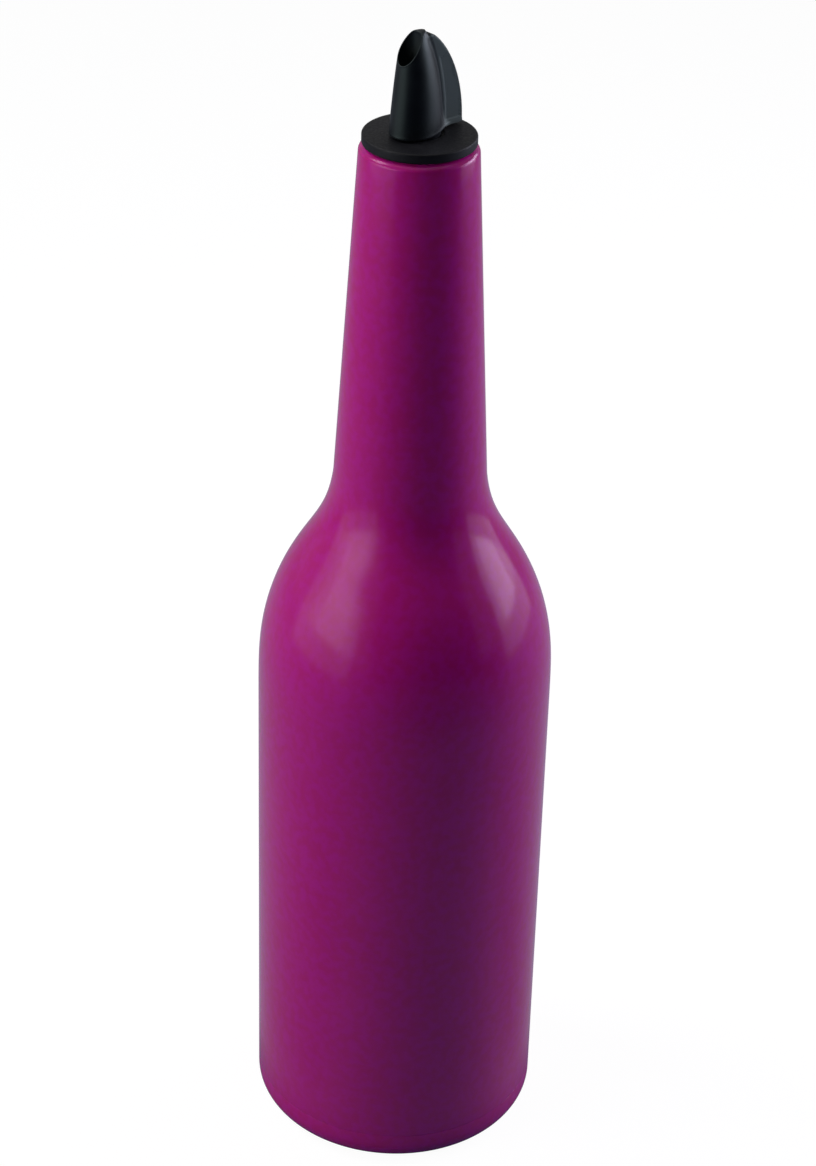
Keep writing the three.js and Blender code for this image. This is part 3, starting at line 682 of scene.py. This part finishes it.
def table_white():
    """White table top. In a mirror it is darker towards the front and far away, which is painted shade, and
    darker under the bottle's heel, which is a painted shadow.
    """
    material = bpy.data.materials.new("table_white")
    material.use_nodes = True
    tree = material.node_tree
    tree.nodes.remove(tree.nodes["Principled BSDF"])
    where = tree.nodes.new("ShaderNodeTexCoord").outputs["Object"]
    reach = vector_of(tree, "LENGTH", where)["Value"]
    # Painted shade: the mirrored table is darker towards the front and far away.
    front = vector_of(tree, "DOT_PRODUCT", vector_of(tree, "NORMALIZE", where)[0], TABLE_DARK_SIDE)["Value"]
    ahead = ramp(tree, reach, NEAR_REACH, FAR_REACH, TABLE_NEAR, TABLE_FAR)
    painted_mirror_shade = add(tree, "ShaderNodeMapRange", Value=front, From_Min=DARK_FROM, From_Max=DARK_TO)
    wire(tree, painted_mirror_shade, To_Min=TABLE_SIDES, To_Max=ahead)
    # Painted shadow: the mirrored table is darker right round the bottle's heel.
    heel = ramp(tree, reach, HEEL_REACH, HEEL_CLEAR, HEEL_SHADE, 1.0)
    mirror = worked(tree, "MULTIPLY", painted_mirror_shade.outputs[0], heel)
    share = worked(tree, "MULTIPLY", shown(tree, mirror), TABLE_WHITE)
    direct = tree.nodes.new("ShaderNodeLightPath").outputs["Is Camera Ray"]
    lit = add(tree, "ShaderNodeBsdfDiffuse", Color=tint(tree, direct, TABLE_BOUNCE, TABLE_COLOUR))
    glow = add(tree, "ShaderNodeEmission", Color=(1, 1, 1, 1), Strength=TABLE_GLOW)
    both = add(tree, "ShaderNodeMixShader", Fac=share, _1=lit.outputs[0], _2=glow.outputs[0])
    wire(tree, tree.nodes["Material Output"], Surface=both.outputs[0])
    return material


def table():
    """Flat square table top at the height of the foot ring."""
    edge = TABLE_REACH * np.array([[-1, -1, 0], [1, -1, 0], [1, 1, 0], [-1, 1, 0]])
    mesh = bpy.data.meshes.new("table")
    mesh.from_pydata(edge.tolist(), [], [(0, 1, 2, 3)])
    mesh.materials.append(table_white())
    top = put("table", mesh)


def room():
    """White room: full white where it is seen, dim in the mirror below a white ceiling, and a low even light
    elsewhere."""
    world = bpy.data.worlds.new("room")
    bpy.context.scene.world = world
    world.use_nodes = True
    tree = world.node_tree
    where = tree.nodes.new("ShaderNodeTexCoord").outputs["Generated"]
    upwards = add(tree, "ShaderNodeSeparateXYZ", Vector=where).outputs["Z"]
    mirror = ramp(tree, upwards, CEILING_FROM, CEILING_TO, ROOM_MIRRORED, CEILING_MIRRORED)
    strength = worked(tree, "ADD", worked(tree, "MULTIPLY", shown(tree, mirror), 1 - ROOM_LIGHT), ROOM_LIGHT)
    wire(tree, tree.nodes["Background"], Color=(1, 1, 1, 1), Strength=strength)


def dark_flag():
    """Dark cloth on a curved frame behind the camera, which keeps the front of the bottle deep in tone.
    Part of an upright cylinder round the bottle: (R cos a, R sin a, z)."""
    a, z = np.meshgrid(np.radians(np.linspace(*FLAG_SPREAD, FLAG_COLUMNS)), FLAG_LEVELS)
    cloth = np.stack([FLAG_DISTANCE * np.cos(a), FLAG_DISTANCE * np.sin(a), z], axis=-1)
    j = np.arange(FLAG_COLUMNS - 1)
    corners = np.stack([j, j + 1, j + 1 + FLAG_COLUMNS, j + FLAG_COLUMNS], axis=-1)
    mesh = bpy.data.meshes.new("dark_flag")
    mesh.from_pydata(cloth.reshape(-1, 3).tolist(), [], corners.tolist())
    material = bpy.data.materials.new("black_cloth")
    material.use_nodes = True
    tree = material.node_tree
    wire(tree, tree.nodes["Principled BSDF"], Base_Color=FLAG_BLACK, Roughness=0.9)
    mesh.materials.append(material)
    flag = put("dark_flag", mesh)
    flag.visible_camera = False


def hang(lamp, azimuth, elevation, distance, level):
    """Hangs a lamp at a distance from a point on the bottle's axis, which it faces. The level is that point's
    height above the table."""
    a, e = math.radians(azimuth), math.radians(elevation)
    away = np.array([math.cos(a) * math.cos(e), math.sin(a) * math.cos(e), math.sin(e)])
    side = np.array([-math.sin(a), math.cos(a), 0])
    turn = np.eye(4)
    turn[:3, 0], turn[:3, 1], turn[:3, 2] = side, np.cross(away, side), away
    turn[:3, 3] = distance * away + (0, 0, level)
    put(lamp.name, lamp).matrix_world = Matrix(turn.tolist())


def soft_light(name, spread, rise, distance, glow, colour=(1, 1, 1)):
    """Upright soft panel beside the bottle. Its spread is in degrees round the upright axis, its rise is its
    lower and upper edge above the table, and its glow is its radiance: power = glow * pi * area."""
    lamp = bpy.data.lights.new(name, "AREA")
    lamp.shape = "RECTANGLE"
    lamp.size = 2 * distance * math.tan(math.radians(spread[1] - spread[0]) / 2)
    lamp.size_y = rise[1] - rise[0]
    lamp.energy = glow * math.pi * lamp.size * lamp.size_y
    lamp.color = colour
    hang(lamp, sum(spread) / 2, 0, distance, sum(rise) / 2)


def top_light(name, azimuth, elevation, distance, size, power):
    """Square soft light high above the table, turned to face the shoulder. It lights the plastic but is too
    far up to be mirrored in it."""
    lamp = bpy.data.lights.new(name, "AREA")
    lamp.size, lamp.energy = size, power
    hang(lamp, azimuth, elevation, distance, SHOULDER_LEVEL)


def eye():
    """Camera where the photograph was taken from: pitched down, a touch rolled, with the photograph's field
    of view."""
    level = np.array([math.sin(EYE_YAW), math.cos(EYE_YAW), 0])
    ahead = level * math.cos(EYE_PITCH) - (0, 0, math.sin(EYE_PITCH))
    right = np.array([math.cos(EYE_YAW), -math.sin(EYE_YAW), 0])
    up = np.cross(right, ahead)
    turn = np.eye(4)
    turn[:3, 0] = right * math.cos(EYE_ROLL) + up * math.sin(EYE_ROLL)
    turn[:3, 1] = up * math.cos(EYE_ROLL) - right * math.sin(EYE_ROLL)
    turn[:3, 2], turn[:3, 3] = -ahead, EYE
    lens = bpy.data.cameras.new("eye")
    lens.sensor_fit, lens.sensor_height = "VERTICAL", SENSOR
    lens.lens = FOCAL_PIXELS * SENSOR / PHOTO_HEIGHT
    camera = put("eye", lens)
    camera.matrix_world = Matrix(turn.tolist())
    bpy.context.scene.camera = camera


table()
room()
dark_flag()
soft_light("left_low", (-188, -132), (0.02, 0.2), 0.8, 1.07)
soft_light("left_outer", (-188, -129), (0.2, 0.62), 0.83, 1.25)
soft_light("left_middle", (-178, -132), (0.2, 0.62), 0.82, 1.14)
soft_light("left_inner", (-168, -140), (0.2, 0.62), 0.81, 1.36)
soft_light("left_high", (-168, -140), (0.38, 0.62), 0.8, 1.04)
soft_light("right_low", (-7, 36), (0.02, 0.2), 0.8, 1.22, COOL_WHITE)
soft_light("right_outer", (-7, 36), (0.2, 0.62), 0.82, 2.63, COOL_WHITE)
soft_light("right_inner", (1, 24), (0.2, 0.62), 0.81, 2.55, COOL_WHITE)
soft_light("right_far", (14, 50), (0.38, 0.62), 0.8, 5.4, COOL_WHITE)
top_light("left_top", -190, 48, 1.1, 0.4, 4.6)
eye()
bpy.context.scene.view_settings.view_transform = "Standard"
